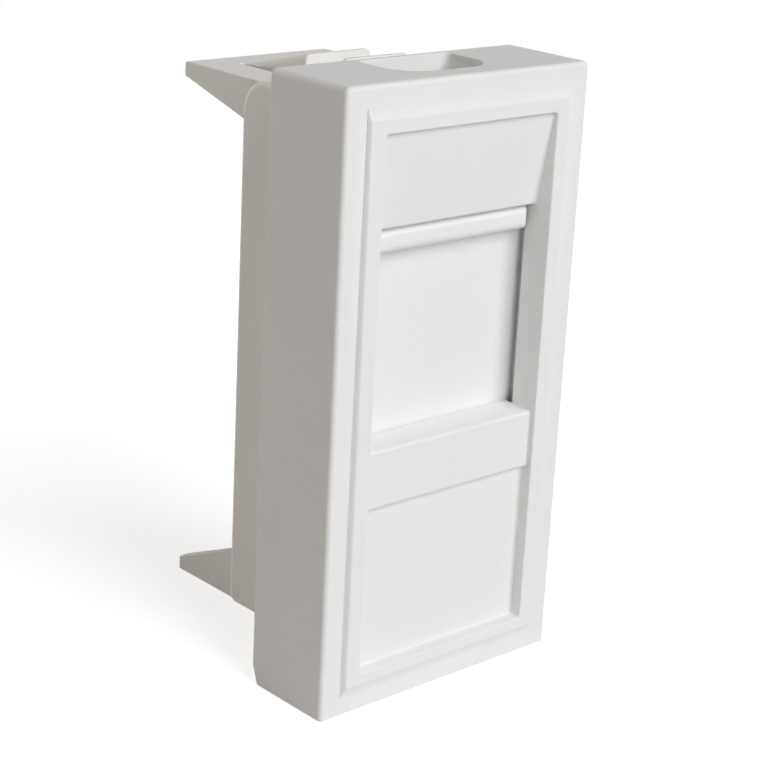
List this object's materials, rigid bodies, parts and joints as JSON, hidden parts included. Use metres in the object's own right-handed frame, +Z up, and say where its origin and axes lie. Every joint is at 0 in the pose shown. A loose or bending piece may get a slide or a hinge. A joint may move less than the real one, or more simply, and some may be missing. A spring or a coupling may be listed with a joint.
{
  "type": "shuttered socket frame",
  "caption": "Half-width wall insert that clips into a support frame and holds a keystone jack behind a sprung sliding shutter.",
  "frame": {"origin": "centre of the bezel's back face, the plane that lies on the wall support", "axes": "+X to the right seen from the front, +Y to the back into the wall, +Z up"},
  "size_m": [0.0226, 0.0239, 0.045],
  "materials": {
    "bezel_plastic": "white moulded plastic with a fine satin skin",
    "shutter_plastic": "white moulded plastic, slightly smoother than the bezel",
    "carrier_plastic": "white moulded plastic, thin walls that let a little warm light through",
    "spring_wire": "bright drawn spring steel wire"
  },
  "bodies": {
    "frame": {"front_frame": "bezel_plastic", "jack_carrier": "carrier_plastic", "left_spring": "spring_wire", "right_spring": "spring_wire"},
    "shutter": {"shutter": "shutter_plastic"}
  },
  "joints": [
    {"name": "shutter_slide", "type": "slide", "parent": "frame", "child": "shutter", "axis": [0, 0, -1], "range_m": [0, 0.01314], "stiffness_N_per_m": 40, "springref_m": -0.0125, "deforming": ["left_spring", "right_spring"]}
  ]
}
